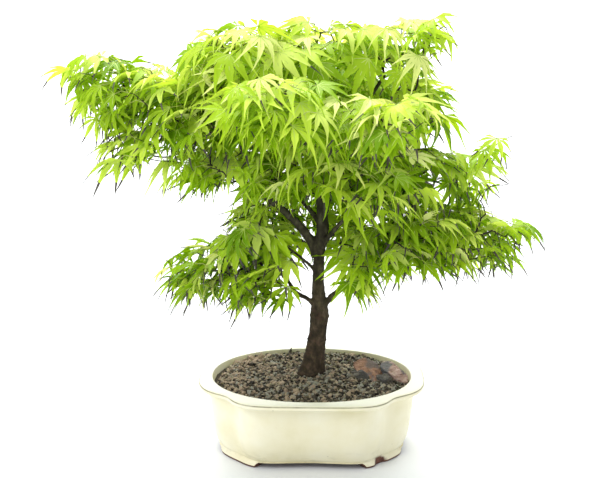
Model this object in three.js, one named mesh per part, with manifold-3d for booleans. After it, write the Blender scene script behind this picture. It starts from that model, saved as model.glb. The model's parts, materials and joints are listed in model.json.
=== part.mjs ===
// A bonsai maple in a glazed pot with four lobes.
// Millimetres, +Z up. X runs along the pot's long side and -Y is the side shown to the viewer.
// Everything is laid out round the middle of the pot's underside. At the end the whole plant
// is shifted so that the origin lies under the middle of its box.

import * as THREE from 'three';
import { mergeVertices } from 'three/addons/utils/BufferGeometryUtils.js';
import Module from 'manifold-3d';

const wasm = await Module();
wasm.setup();

// ---------------------------------------------------------------- driving dimensions

const GAP = 0.35; // clearance left between pieces that touch

// The pot: a lip with four lobes, an oval mouth, a bowed wall and four corner feet.
const POT = {
  height: 69,
  endLobe: { reach: [108, 61], squareness: 3.2 },
  sideLobe: { reach: [78, 79], squareness: 5 },
  // The creases between the lobes are sharp at the lip and fade out at the feet. A higher value
  // is a sharper crease.
  crease: { foot: 5.6, lip: 24, fadesBelow: 24 },
  mouth: { reach: [96, 69], squareness: 2.2 },
  wall: 4.5,
  footHeight: 6,
  footWidth: 10,
  arch: [49, 27.5], // half widths of the gaps between the feet, along X and along Y
  floor: 12,
  sides: 32,
};
// Glaze and clay broken off the right front foot.
const CHIP = { at: [69.5, -50, 1], radius: [7.5, 6, 9.5] };

// The wall from the feet to the lip, as [height, inset at the sides, inset at the ends], where the
// inset is how far it stands in from the lip's edge.
const OUTER_WALL = [
  [POT.footHeight, 19.6, 21.2], [8, 17.8, 19], [16, 13.2, 15.5], [22, 10.8, 14], [44, 8.8, 11.2],
  [63, 8.4, 10], [64.4, 2.6, 2.6], [66, 0.3, 0.3], [POT.height - 1, 0, 0], [POT.height, 1, 1],
];
const UNDER_LIP = OUTER_WALL[5];
// The inside of the wall in the same way, where the inset is from the mouth's edge.
const INNER_WALL = [[POT.floor, 24, 24], [27, 10, 10], [63.5, 1.2, 1.2], [POT.height, 0, 0]];

// The soil: granules heaped a little towards the trunk.
const SOIL = { edge: 63.5, crown: 70.2, flat: 17 };

// Two stones bedded in the soil, with their middle, half sizes and turn in degrees.
const STONES = [
  { name: 'stone_rust', at: [52, 7, 67.5], radius: [14, 11, 7.5], turn: -25, seed: 3 },
  { name: 'stone_pale', at: [79, 4, 66.5], radius: [10.5, 13, 8], turn: 15, seed: 8 },
];

// The trunk: a leader that runs up through the crown.
const TRUNK = {
  foot: SOIL.crown + GAP,
  rise: 317,
  girth: 4.7, // half thickness of the middle of the trunk
  lowerGirth: 3.4, // what the lower trunk adds, fading over lowerReach
  lowerReach: 85,
  leader: 3.8, // half thickness of the leader above the fork
  tip: 1.1,
  fork: 160,
  flare: 5.1, // what the root flare adds at the soil, fading over flareReach
  flareReach: 14,
  toes: 5,
  knuckles: [{ at: 60, swell: 1.6, spread: 13 }, { at: 142, swell: 0.9, spread: 16 }],
};
// The trunk's lean as [height above the soil, x, y].
const LEAN = [
  [0, -1, 3], [25, 3.8, 3], [55, 6, 4], [88, 5, 4], [120, 6.2, 3],
  [150, 9, 2], [185, 6.2, 1], [250, 3, -1], [TRUNK.rise, -1, -2],
];

// The masses of foliage, as their middle and half sizes. A fine mass has more facets.
const FOLIAGE = [
  { name: 'crown_top_left', at: [-61, -10, 375], radius: [50, 46, 30] },
  { name: 'crown_top_middle', at: [10, 0, 381], radius: [46, 46, 25] },
  { name: 'crown_top_right', at: [80, -5, 379], radius: [50, 45, 25] },
  { name: 'crown_core', at: [4, 0, 326], radius: [41, 42, 32] },
  { name: 'front_high_left', at: [-26, -96, 339], radius: [54, 44, 29] },
  { name: 'front_high_right', at: [62, -96, 331], radius: [56, 44, 29] },
  { name: 'front_low_right', at: [64, -58, 265], radius: [42, 36, 34] },
  { name: 'centre_left', at: [-22, -30, 276], radius: [38, 36, 36] },
  { name: 'left_arm_tip', at: [-190, -5, 346], radius: [42, 40, 28] },
  { name: 'left_arm_outer', at: [-145, 0, 337], radius: [44, 46, 37] },
  { name: 'left_arm_inner', at: [-94, 0, 326], radius: [42, 46, 43] },
  { name: 'left_arm_under', at: [-148, -20, 289], radius: [46, 40, 32] },
  { name: 'left_arm_root', at: [-82, -15, 271], radius: [40, 40, 30] },
  { name: 'left_low_tip', at: [-119, -5, 165], radius: [30, 34, 26] },
  { name: 'left_low_middle', at: [-84, -18, 173], radius: [36, 44, 30] },
  { name: 'left_low_root', at: [-43, -15, 170], radius: [33, 34, 28] },
  { name: 'left_low_top', at: [-58, 6, 214], radius: [42, 38, 27] },
  { name: 'right_high', at: [100, 16, 330], radius: [42, 40, 23] },
  { name: 'right_arm_inner', at: [103, 0, 274], radius: [42, 40, 28] },
  { name: 'right_arm_outer', at: [153, -5, 264], radius: [40, 40, 29] },
  { name: 'right_arm_sprig', at: [174, -5, 291], radius: [18, 15, 12] },
  { name: 'right_low_middle', at: [108, -16, 212], radius: [46, 46, 36] },
  { name: 'right_low_outer', at: [160, -2, 208], radius: [40, 40, 34] },
  { name: 'right_low_sprig', at: [197, -5, 219], radius: [26, 20, 17] },
  { name: 'right_low_root', at: [56, 24, 199], radius: [34, 30, 19] },
  { name: 'right_low_under', at: [46, -30, 173], radius: [30, 28, 24] },
  { name: 'back_high_left', at: [-72, 70, 328], radius: [52, 46, 36] },
  { name: 'back_high_middle', at: [0, 84, 342], radius: [46, 44, 34] },
  { name: 'back_high_right', at: [64, 76, 322], radius: [46, 44, 34] },
  { name: 'back_middle_left', at: [-76, 72, 258], radius: [50, 44, 32] },
  { name: 'back_middle', at: [2, 84, 262], radius: [44, 42, 42] },
  { name: 'back_middle_right', at: [82, 72, 258], radius: [52, 44, 32] },
  { name: 'back_low_left', at: [-64, 58, 196], radius: [44, 38, 27] },
  { name: 'back_low_right', at: [84, 60, 190], radius: [46, 38, 26] },
];
const LUMPINESS = 0.24;
const DROOP = 0.25; // how far a mass's rim hangs, as a share of its half height
const FINE_FROM = 42; // masses of at least this half length get the finer facets

// The boughs as [name, parent, where it leaves its parent, the mass it grows into, how steeply it
// leaves in degrees above level, half thickness at the root and at the tip]. It leaves the trunk
// at a height above the soil, and another bough at a share of that bough's length.
const BOUGHS = [
  ['low_left_bough', 'trunk', 65, 'left_low_root', 42, [2.7, 1.7]],
  ['low_right_bough', 'trunk', 66, 'right_low_middle', 44, [3.2, 1.9]],
  ['second_left_bough', 'trunk', 99, 'left_low_top', 48, [1.7, 1]],
  ['main_left_bough', 'trunk', 119, 'left_arm_root', 62, [4.6, 2.9]],
  ['right_bough', 'trunk', 124, 'front_low_right', 52, [2.6, 1.5]],
  ['back_left_bough', 'trunk', 146, 'back_middle_left', 50, [2.8, 1.6]],
  ['second_leader', 'trunk', 152, 'crown_top_right', 80, [2.9, 1.6]],
  ['back_bough', 'trunk', 186, 'back_middle', 30, [2.2, 1.4]],
  ['front_left_bough', 'trunk', 222, 'front_high_left', 50, [2, 1.2]],
  ['high_left_bough', 'trunk', 206, 'left_arm_inner', 40, [2.3, 1.4]],
  ['left_fork_bough', 'main_left_bough', 0.6, 'centre_left', 78, [2.6, 1.8]],
  ['back_low_left_bough', 'low_left_bough', 0.5, 'back_low_left', 35, [1.8, 1.2]],
  ['back_low_right_bough', 'low_right_bough', 0.38, 'back_low_right', 30, [2, 1.3]],
  ['right_arm_bough', 'second_leader', 0.12, 'right_arm_inner', 35, [2.2, 1.5]],
  ['back_right_bough', 'second_leader', 0.2, 'back_middle_right', 25, [2.1, 1.3]],
  ['high_right_bough', 'second_leader', 0.4, 'right_high', 40, [1.9, 1.2]],
  ['front_right_bough', 'second_leader', 0.5, 'front_high_right', 40, [1.9, 1.2]],
].map(([name, from, at, into, steep, thick]) => ({ name, from, at, into, steep, thick }));

// ---------------------------------------------------------------- materials

const finish = (color, roughness) => new THREE.MeshStandardMaterial({ color, roughness, metalness: 0 });
const FINISHES = {
  glaze: () => finish(0xf2ecd0, 0.25),
  soil: () => finish(0x6f6752, 0.95),
  stone_rust: () => finish(0x8a5f49, 0.9),
  stone_pale: () => finish(0xa18e82, 0.9),
  bark: () => finish(0x3f392b, 0.85),
  foliage: () => finish(0x8fbb31, 0.6),
};

// ---------------------------------------------------------------- solids and booleans

/** A closed solid from a three.js geometry, with its shared vertices merged. */
function toSolid(geometry) {
  const bare = geometry.clone();
  bare.deleteAttribute('normal');
  bare.deleteAttribute('uv');
  const welded = mergeVertices(bare.index ? bare.toNonIndexed() : bare, 1e-3);
  const mesh = new wasm.Mesh({
    numProp: 3,
    vertProperties: new Float32Array(welded.attributes.position.array),
    triVerts: new Uint32Array(welded.index.array),
  });
  return new wasm.Manifold(mesh);
}

/** The geometry of a solid's largest piece, so that slivers cut loose are left out. */
function toGeometry(solid) {
  const pieces = solid.decompose();
  const largest = pieces.reduce((best, piece) => (piece.volume() > best.volume() ? piece : best));
  const mesh = largest.getMesh();
  const geometry = new THREE.BufferGeometry();
  geometry.setAttribute('position', new THREE.Float32BufferAttribute(mesh.vertProperties, 3));
  geometry.setIndex(new THREE.Uint32BufferAttribute(mesh.triVerts, 1));
  return geometry;
}

/** Whether the boxes of two solids meet. */
function boxesMeet(a, b) {
  const [boxA, boxB] = [a.boundingBox(), b.boundingBox()];
  return [0, 1, 2].every((i) => boxA.min[i] < boxB.max[i] && boxB.min[i] < boxA.max[i]);
}

/** Moves each vertex of a geometry to place(vertex). */
function reshape(geometry, place) {
  const position = geometry.attributes.position;
  const vertex = new THREE.Vector3();
  for (let i = 0; i < position.count; i += 1) {
    vertex.fromBufferAttribute(position, i);
    position.setXYZ(i, ...place(vertex).toArray());
  }
  return geometry;
}

/** A closed body of stacked rings, where ring(step, angle, share) gives a point of the surface. */
function ringBody(sides, steps, ring) {
  const drum = new THREE.CylinderGeometry(1, 1, 1, sides, steps);
  return reshape(drum, (v) => {
    const step = Math.round((v.y + 0.5) * steps);
    const share = Math.min(1, Math.hypot(v.x, v.z));
    return ring(step, Math.atan2(-v.z, v.x), share < 0.5 ? 0 : 1);
  });
}

// ---------------------------------------------------------------- pot

/** The radius of a rounded rectangle of half sizes `reach` at an angle. */
function roundedRadius({ reach, squareness }, angle) {
  const along = Math.abs(Math.cos(angle) / reach[0]) ** squareness;
  const across = Math.abs(Math.sin(angle) / reach[1]) ** squareness;
  return (along + across) ** (-1 / squareness);
}

/** The outline of the end lobes and the side lobes, with the creases as they are at a height. */
function lobedRadius(angle, z) {
  const { foot, lip, fadesBelow } = POT.crease;
  const k = THREE.MathUtils.lerp(foot, lip, THREE.MathUtils.smoothstep(z, 0, fadesBelow));
  return (roundedRadius(POT.endLobe, angle) ** k + roundedRadius(POT.sideLobe, angle) ** k) ** (1 / k);
}

const mouthRadius = (angle) => roundedRadius(POT.mouth, angle);

function onCircle(radius, angle, z) {
  return new THREE.Vector3(radius * Math.cos(angle), radius * Math.sin(angle), z);
}

/** The inset of a wall's profile at a height and an angle. */
function insetAt(profile, z, angle) {
  const above = Math.max(1, profile.findIndex(([height]) => height >= z));
  const [low, high] = [profile[above - 1], profile[above]];
  const [side, end] = [1, 2].map((k) => THREE.MathUtils.mapLinear(z, low[0], high[0], low[k], high[k]));
  return THREE.MathUtils.lerp(side, end, Math.cos(angle) ** 4);
}

/** The inside of the pot: the mouth drawn in, and never closer to the outside than the wall's thickness. */
function innerRadius(angle, z) {
  const drawnIn = mouthRadius(angle) - insetAt(INNER_WALL, z, angle);
  const level = z < POT.height - 1 ? Math.min(z, UNDER_LIP[0]) : z;
  const outside = lobedRadius(angle, z) - insetAt(OUTER_WALL, level, angle);
  return Math.min(drawnIn, outside - POT.wall);
}

/** A solid of rings, each { z, radius(angle) }. */
function ringStack(rings) {
  return ringBody(POT.sides, rings.length - 1, (step, angle, share) => {
    const { z, radius } = rings[step];
    return onCircle(share * radius(angle), angle, z);
  });
}

const outerRadius = (angle, z) => lobedRadius(angle, z) - insetAt(OUTER_WALL, z, angle);
const outerRing = ([z]) => ({ z, radius: (angle) => outerRadius(angle, z) });
const footRing = ([z, inset]) => ({ z, radius: (angle) => outerRadius(angle, POT.footHeight) - inset });
const innerRing = ([z]) => ({ z, radius: (angle) => innerRadius(angle, z) });

/** A rounded bar along Y or X that opens the gap between two feet. */
function footArch(halfWidth, alongX) {
  const outline = new THREE.Shape();
  const [top, rounding] = [POT.footHeight, 3];
  outline.moveTo(-halfWidth, -5);
  outline.lineTo(halfWidth, -5);
  outline.lineTo(halfWidth, top - rounding);
  outline.quadraticCurveTo(halfWidth, top, halfWidth - rounding, top);
  outline.lineTo(-halfWidth + rounding, top);
  outline.quadraticCurveTo(-halfWidth, top, -halfWidth, top - rounding);
  const bar = new THREE.ExtrudeGeometry(outline, { depth: 260, bevelEnabled: false, curveSegments: 3 });
  bar.translate(0, 0, -130);
  bar.rotateX(Math.PI / 2);
  return alongX ? bar.rotateZ(Math.PI / 2) : bar;
}

function potGeometry() {
  const mouth = { z: POT.height + 5, radius: (angle) => innerRadius(angle, POT.height) };
  const hollow = toSolid(ringStack([...INNER_WALL.map(innerRing), mouth]));
  const shell = toSolid(ringStack(OUTER_WALL.map(outerRing))).subtract(hollow);
  const footOuter = toSolid(ringStack([[0, 1], [1.2, 0], [POT.footHeight + 1.5, 0.1]].map(footRing)));
  const footInner = toSolid(ringStack([-1, POT.footHeight].map((z) => footRing([z, POT.footWidth]))));
  const chip = toSolid(new THREE.IcosahedronGeometry(1, 1).scale(...CHIP.radius).translate(...CHIP.at));
  const feet = footOuter
    .subtract(footInner)
    .subtract(toSolid(footArch(POT.arch[0], false)))
    .subtract(toSolid(footArch(POT.arch[1], true)));
  return toGeometry(shell.add(feet).subtract(chip));
}

// ---------------------------------------------------------------- soil and stones

/** A repeatable number from 0 to 1 for a whole number. */
function scatter(n) {
  const x = Math.sin(n * 127.1 + 311.7) * 43758.5453;
  return x - Math.floor(x);
}

/** A smooth, repeatable value from about -1 to 1 over the directions round a middle. */
function lumps(direction, seed) {
  let sum = 0;
  for (let wave = 0; wave < 4; wave += 1) {
    const at = (k) => scatter(seed * 37 + wave * 7 + k);
    const along = new THREE.Vector3(at(1) - 0.5, at(2) - 0.5, at(3) - 0.5).setLength(3 + 1.6 * wave);
    sum += Math.sin(along.dot(direction) + 6.283 * at(4)) / (1 + 0.35 * wave);
  }
  return sum / 2.4;
}

function stoneGeometry({ at, radius, turn, seed }, grow) {
  const rock = reshape(new THREE.IcosahedronGeometry(1, 1), (v) => {
    const direction = v.clone().normalize();
    const size = 1 + 0.2 * lumps(direction, seed);
    return direction.multiply(new THREE.Vector3(...radius)).multiplyScalar(size + grow / radius[2]);
  });
  return rock.rotateZ(THREE.MathUtils.degToRad(turn)).translate(...at);
}

/** The soil fills the pot, and its top is a low heap with a flat patch under the trunk. */
function soilGeometry() {
  const bed = INNER_WALL.map(([z]) => Math.min(z, SOIL.edge)).filter((z, i, all) => all.indexOf(z) === i);
  const heap = [0.8, 0.45, 0]; // how far out each ring of the heap lies
  const middle = new THREE.Vector3(LEAN[0][1], LEAN[0][2], 0);
  const body = ringBody(POT.sides, bed.length + heap.length - 1, (step, angle, share) => {
    const z = bed[Math.min(step, bed.length - 1)];
    const rim = onCircle(share * (innerRadius(angle, z) - GAP), angle, Math.max(z, POT.floor + GAP));
    if (step < bed.length) return rim;
    const out = heap[step - bed.length];
    const flat = onCircle(SOIL.flat * share, angle, 0).add(middle);
    return flat.lerp(rim, share * out).setZ(THREE.MathUtils.lerp(SOIL.crown, SOIL.edge, out ** 1.5));
  });
  return STONES.reduce((soil, stone) => soil.subtract(toSolid(stoneGeometry(stone, GAP))), toSolid(body));
}

// ---------------------------------------------------------------- trunk and boughs

const leanCurve = new THREE.CatmullRomCurve3(
  LEAN.map(([height, x, y]) => new THREE.Vector3(x, y, TRUNK.foot + height)),
);

/** The point of the trunk's middle line at a height above the soil. */
function trunkPoint(height) {
  let [low, high] = [0, 1];
  for (let i = 0; i < 24; i += 1) {
    const middle = (low + high) / 2;
    if (leanCurve.getPoint(middle).z < TRUNK.foot + height) low = middle;
    else high = middle;
  }
  return leanCurve.getPoint(low);
}

/** The trunk's half thickness at a height above the soil, without its root flare. */
function trunkRadius(height) {
  const lower = TRUNK.girth + TRUNK.lowerGirth * Math.exp(-((height / TRUNK.lowerReach) ** 2));
  const left = Math.max(0, 1 - (height - TRUNK.fork) / (TRUNK.rise - TRUNK.fork));
  const upper = TRUNK.tip + (TRUNK.leader - TRUNK.tip) * Math.min(1, left) ** 1.6;
  const stem = THREE.MathUtils.lerp(lower, upper, THREE.MathUtils.smoothstep(height, 148, 172));
  const swelling = TRUNK.knuckles.reduce(
    (sum, { at, swell, spread }) => sum + swell * Math.exp(-(((height - at) / spread) ** 2)),
    0,
  );
  return stem + swelling;
}

/** The root flare at a height and an angle: strongest along the toes. */
function flareAt(height, angle) {
  const toes = 1 + 0.3 * Math.cos(TRUNK.toes * angle + 0.6) + 0.12 * Math.sin(2 * angle);
  return TRUNK.flare * toes * Math.exp(-height / TRUNK.flareReach);
}

function trunkGeometry(grow, sides = 12, steps = 24) {
  return ringBody(sides, steps, (step, angle, share) => {
    const height = TRUNK.rise * (step / steps) ** 1.25;
    const wobble = 1 + 0.05 * Math.sin(2 * angle + height / 21) + 0.04 * Math.sin(3 * angle - height / 13);
    const radius = trunkRadius(height) * wobble + flareAt(height, angle) + grow;
    const middle = trunkPoint(height);
    if (step === steps) middle.z += grow;
    return onCircle(share * radius, angle, 0).add(middle);
  });
}

const foliageMiddle = new Map(FOLIAGE.map(({ name, at }) => [name, new THREE.Vector3(...at)]));

/** The middle line of a bough: it leaves its parent steeply and bends over to its foliage. */
function boughCurve({ from, at, into, steep }, curves) {
  const root = from === 'trunk' ? trunkPoint(at) : curves.get(from).getPoint(at);
  const end = foliageMiddle.get(into);
  const reach = end.clone().sub(root);
  const level = new THREE.Vector3(reach.x, reach.y, 0).normalize();
  const rise = THREE.MathUtils.degToRad(steep);
  const leaving = level.multiplyScalar(Math.cos(rise)).setZ(Math.sin(rise));
  const bend = root.clone().addScaledVector(leaving, 0.48 * reach.length());
  return new THREE.QuadraticBezierCurve3(root, bend, end);
}

/** A tapering limb round a curve. */
function limbGeometry(curve, [thick, thin], grow) {
  const [sides, steps] = [6, 6];
  const frames = curve.computeFrenetFrames(steps);
  return ringBody(sides, steps, (step, angle, share) => {
    const t = step / steps;
    const radius = share * (THREE.MathUtils.lerp(thick, thin, t ** 0.7) * (1 + 0.35 * (1 - t) ** 8) + grow);
    return curve
      .getPointAt(t)
      .addScaledVector(frames.normals[step], radius * Math.cos(angle))
      .addScaledVector(frames.binormals[step], radius * Math.sin(angle));
  });
}

// ---------------------------------------------------------------- foliage

/** Half the size of an uneven ball of half sizes `radius` in a direction. */
function reachAlong(radius, direction) {
  return 1 / Math.hypot(direction.x / radius[0], direction.y / radius[1], direction.z / radius[2]);
}

/** The planes that keep a mass clear of its neighbours, as a normal and a distance from its middle. */
function boundsOf(mass) {
  const middle = foliageMiddle.get(mass.name);
  const planes = [];
  for (const other of FOLIAGE) {
    const across = foliageMiddle.get(other.name).clone().sub(middle);
    const reach = 1.35 * (Math.max(...mass.radius) + Math.max(...other.radius));
    if (other === mass || across.length() > reach) continue;
    const direction = across.clone().normalize();
    const [mine, theirs] = [reachAlong(mass.radius, direction), reachAlong(other.radius, direction)];
    const size = new THREE.Vector3(...mass.radius).add(new THREE.Vector3(...other.radius));
    const normal = across.clone().divide(size).divide(size).normalize();
    const meeting = across.multiplyScalar(mine / (mine + theirs));
    planes.push({ normal, distance: meeting.dot(normal) - GAP / 2 });
  }
  return planes;
}

function foliageGeometry(mass, index, grow) {
  const radius = new THREE.Vector3(...mass.radius);
  const planes = boundsOf(mass);
  const detail = mass.radius[0] >= FINE_FROM ? 2 : 1;
  const ball = reshape(new THREE.IcosahedronGeometry(1, detail), (v) => {
    const direction = v.clone().normalize();
    const levelShare = direction.x ** 2 + direction.y ** 2;
    const size = 1 + LUMPINESS * lumps(direction, index + 1);
    const point = direction.multiply(radius).multiplyScalar(size);
    point.z *= point.z < 0 ? 0.85 : 1;
    point.z -= DROOP * radius.z * levelShare;
    for (const { normal, distance } of planes) {
      const past = point.dot(normal) / distance;
      if (past > 1) point.divideScalar(past);
    }
    return point.multiplyScalar(1 + grow / point.length());
  });
  return ball.translate(...mass.at);
}

// ---------------------------------------------------------------- the plant

const plant = new THREE.Group();

function addPiece(name, geometry, material) {
  const mesh = new THREE.Mesh(geometry, material);
  mesh.name = name;
  plant.add(mesh);
}

addPiece('pot', potGeometry(), FINISHES.glaze());
addPiece('soil', toGeometry(soilGeometry()), FINISHES.soil());
for (const stone of STONES) {
  addPiece(stone.name, toGeometry(toSolid(stoneGeometry(stone, 0))), FINISHES[stone.name]());
}

addPiece('trunk', toGeometry(toSolid(trunkGeometry(0))), FINISHES.bark());

// Each limb is kept grown by the gap, to cut the boughs and the foliage that meet it.
const curves = new Map();
const grownLimbs = new Map([['trunk', toSolid(trunkGeometry(GAP))]]);
const foliageIndex = new Map(FOLIAGE.map(({ name }, index) => [name, index]));
const massOf = (name) => FOLIAGE[foliageIndex.get(name)];
for (const bough of BOUGHS) {
  const curve = boughCurve(bough, curves);
  curves.set(bough.name, curve);
  const mass = massOf(bough.into);
  const grownMass = toSolid(foliageGeometry(mass, foliageIndex.get(mass.name), 2 * GAP));
  const limb = toSolid(limbGeometry(curve, bough.thick, 0));
  const bare = limb.subtract(grownLimbs.get(bough.from)).subtract(grownMass);
  addPiece(bough.name, toGeometry(bare), FINISHES.bark());
  grownLimbs.set(bough.name, toSolid(limbGeometry(curve, bough.thick, GAP)));
}

// The foliage is cut round a plainer trunk, with room for its corners.
grownLimbs.set('trunk', toSolid(trunkGeometry(3.5 * GAP, 8, 16)));
FOLIAGE.forEach((mass, index) => {
  let solid = toSolid(foliageGeometry(mass, index, 0));
  const ownBoughs = BOUGHS.filter(({ into }) => into === mass.name).map(({ name }) => name);
  for (const [name, grown] of grownLimbs) {
    if (!ownBoughs.includes(name) && boxesMeet(solid, grown)) solid = solid.subtract(grown);
  }
  addPiece(mass.name, toGeometry(solid), FINISHES.foliage());
});

// The origin goes under the middle of the plant's box, on the surface that the feet stand on.
const box = new THREE.Box3().setFromObject(plant);
const boxMiddle = box.getCenter(new THREE.Vector3());
plant.position.set(-boxMiddle.x, -boxMiddle.y, -box.min.z);

export default plant;
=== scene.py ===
import json
import math
import random

import bmesh
import bpy
from mathutils import Matrix, Vector, noise
from mathutils.bvhtree import BVHTree
from mathutils.kdtree import KDTree

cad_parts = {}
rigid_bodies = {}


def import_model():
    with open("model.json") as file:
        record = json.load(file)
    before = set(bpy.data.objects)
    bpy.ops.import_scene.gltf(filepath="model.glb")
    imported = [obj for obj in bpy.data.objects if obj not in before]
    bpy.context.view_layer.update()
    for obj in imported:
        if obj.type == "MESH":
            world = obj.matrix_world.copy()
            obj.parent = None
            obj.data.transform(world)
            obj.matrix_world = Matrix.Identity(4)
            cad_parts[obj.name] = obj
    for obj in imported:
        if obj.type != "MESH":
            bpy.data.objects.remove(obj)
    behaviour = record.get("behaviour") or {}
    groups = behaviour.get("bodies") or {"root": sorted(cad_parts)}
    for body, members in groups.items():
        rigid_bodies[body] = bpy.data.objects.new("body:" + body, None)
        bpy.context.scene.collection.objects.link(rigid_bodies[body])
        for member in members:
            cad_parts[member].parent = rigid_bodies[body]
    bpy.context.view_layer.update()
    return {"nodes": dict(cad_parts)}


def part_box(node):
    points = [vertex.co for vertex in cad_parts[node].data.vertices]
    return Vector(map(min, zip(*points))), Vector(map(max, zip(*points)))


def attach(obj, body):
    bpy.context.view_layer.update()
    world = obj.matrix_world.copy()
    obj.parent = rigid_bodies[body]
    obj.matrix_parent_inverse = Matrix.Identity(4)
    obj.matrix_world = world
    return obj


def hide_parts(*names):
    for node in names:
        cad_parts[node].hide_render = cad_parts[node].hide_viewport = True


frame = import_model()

# ---------------------------------------------------------------- floor, light and camera
# A white floor under a pale, even sky and two soft boxes, one high on the left and one overhead.
# The camera stands in front of the pot's long side and looks a little down at the trunk.

MM = 0.001
pot_low, pot_high = [Vector(corner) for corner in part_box("pot")]
pot_foot = Vector(((pot_low.x + pot_high.x) / 2, (pot_low.y + pot_high.y) / 2, 0))


def new_material(name, roughness):
    """A material with a node tree, and its Principled shader."""
    material = bpy.data.materials.new(name)
    material.use_nodes = True
    shader = material.node_tree.nodes["Principled BSDF"]
    shader.inputs["Roughness"].default_value = roughness
    return material, shader


def piece_from(name, body, material, smooth=True):
    """An object at the origin made from a bmesh, which it frees."""
    mesh = bpy.data.meshes.new(name)
    body.to_mesh(mesh)
    body.free()
    mesh.materials.append(material)
    for face in mesh.polygons:
        face.use_smooth = smooth
    piece = bpy.data.objects.new(name, mesh)
    bpy.context.scene.collection.objects.link(piece)
    return piece


def soft_box(name, place, aim, size, watts):
    """A square lamp that faces a point."""
    lamp = bpy.data.lights.new(name, "AREA")
    lamp.size = size
    lamp.energy = watts
    holder = bpy.data.objects.new(name, lamp)
    holder.location = place
    holder.rotation_euler = (Vector(aim) - Vector(place)).to_track_quat("-Z", "Y").to_euler()
    bpy.context.scene.collection.objects.link(holder)


floor_body = bmesh.new()
bmesh.ops.create_circle(floor_body, cap_ends=True, segments=64, radius=14)
floor_material, floor_shader = new_material("white_floor", 0.8)
floor_shader.inputs["Base Color"].default_value = (0.72, 0.735, 0.74, 1)
floor_shader.inputs["Specular IOR Level"].default_value = 0
piece_from("floor", floor_body, floor_material)

world = bpy.data.worlds.new("pale_studio")
world.use_nodes = True
world.node_tree.nodes["Background"].inputs["Color"].default_value = (0.97, 0.985, 1, 1)
world.node_tree.nodes["Background"].inputs["Strength"].default_value = 0.88
bpy.context.scene.world = world
soft_box("soft_box_left", (-1.1, -0.95, 1.5), (0, 0, 0.2), 1.1, 16)
soft_box("soft_box_overhead", (-0.15, 0.3, 1.8), (0, 0, 0.2), 0.8, 10)
soft_box("soft_box_backdrop", (0, 6.5, 5), (0, 6, 0), 9, 1500)

CAMERA_PITCH = math.radians(15.1)
CAMERA_TURN = math.radians(1.2)
CAMERA_DISTANCE = 1.1
LENS_MM = 71.04
aim = pot_foot + Vector((0, -0.005, 0.213))
sight = Vector((
    -math.cos(CAMERA_PITCH) * math.sin(CAMERA_TURN),
    math.cos(CAMERA_PITCH) * math.cos(CAMERA_TURN),
    -math.sin(CAMERA_PITCH),
))
camera_data = bpy.data.cameras.new("camera")
camera_data.lens = LENS_MM
camera_data.shift_x = -0.0193
camera_data.shift_y = -0.012
camera = bpy.data.objects.new("camera", camera_data)
camera.location = aim - CAMERA_DISTANCE * sight
camera.rotation_euler = sight.to_track_quat("-Z", "Y").to_euler()
bpy.context.scene.collection.objects.link(camera)
bpy.context.scene.camera = camera
bpy.context.scene.view_settings.view_transform = "Standard"

# ---------------------------------------------------------------- the pot
# A pressed stoneware pot with two side lobes and two end lobes, four feet and a flat lip round an
# oval mouth, under a cream glaze that breaks thin and grey on the lip's edge. A foot has lost a chip.

POT_SIDES = 256
half_length, half_width = (pot_high.x - pot_low.x) / 2, (pot_high.y - pot_low.y) / 2
pot_height = pot_high.z
END_LOBE = (half_length, half_length * 0.565, 3.2)
SIDE_LOBE = (half_length * 0.722, half_width, 5)
MOUTH = (half_length - 12.5 * MM, half_width - 10.2 * MM, 2.1)
LIP_TOP = pot_height + 0.8 * MM  # the lip slopes up a little from its edge to the mouth
THINNEST_WALL = 1.5 * MM
FOOT_HEIGHT = 6 * MM
FOOT_WIDTH = 10 * MM
BARE_AND_SHADED_BELOW = 2  # millimetres of foot that were wiped clean of glaze before the firing; the clay's dark colour there is partly painted shade along the foot's lower edge
ARCHES = (49 * MM, 27 * MM)
chip_middle = pot_foot + Vector((66.8, -51.5, 0)) * MM
CHIP_RADIUS = 9 * MM

# The outside as (height, inset at the sides, inset at the ends) in millimetres, foot to lip. The
# inset is measured in from the lip's edge.
OUTSIDE = [
    (0, 21.5, 22.5), (0.8, 20.4, 21.8), (1.7, 20, 21.5), (2.1, 19.9, 21.4), (4.6, 19.7, 21.3), (5.4, 19.8, 21.4),
    (6, 20.4, 21.8), (6.6, 20, 21.3), (7.4, 18.6, 20), (9, 17.2, 18.6), (12, 15.2, 17), (16, 13.2, 15.5),
    (22, 10.8, 14), (30, 9.8, 12.8), (38, 9.2, 11.8), (46, 8.8, 11), (54, 8.6, 10.4), (60, 8.4, 10), (62.2, 8.2, 9.6),
    (63.2, 7.2, 8.2), (63.8, 5, 5.6), (64.1, 3, 3.2), (64.5, 1.4, 1.4), (65.2, 0.4, 0.4), (66.2, 0, 0),
    (67.6, 0.05, 0.05), (68.3, 0.25, 0.25), (68.7, 0.6, 0.6), (68.92, 1.1, 1.1), (69.05, 1.9, 1.9), (69.2, 3.2, 3.2),
]
GLAZE_BREAKS = {68.3: 0.8, 68.7: 1.0, 64.1: 0.45}  # how thin the glaze is at a height in millimetres
CREASE_AT_FOOT, CREASE_RISE, CREASE_TO = 5.6, 18.4, 26 * MM  # how sharp the creases are, and up to what height
MOUTH_TAPER = 0.28  # how fast the inside draws in below the lip
CHIP_DEPTH = 2.6 * MM


def rounded_radius(shape, angle):
    """The radius of a rounded rectangle, given as (half length, half width, squareness)."""
    along = abs(math.cos(angle) / shape[0]) ** shape[2]
    across = abs(math.sin(angle) / shape[1]) ** shape[2]
    return (along + across) ** (-1 / shape[2])


def smooth_step(value, low, high):
    """Nought at low, one at high and a smooth rise between, or a fall where low is the higher."""
    share = min(1, max(0, (value - low) / (high - low)))
    return share * share * (3 - 2 * share)


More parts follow.
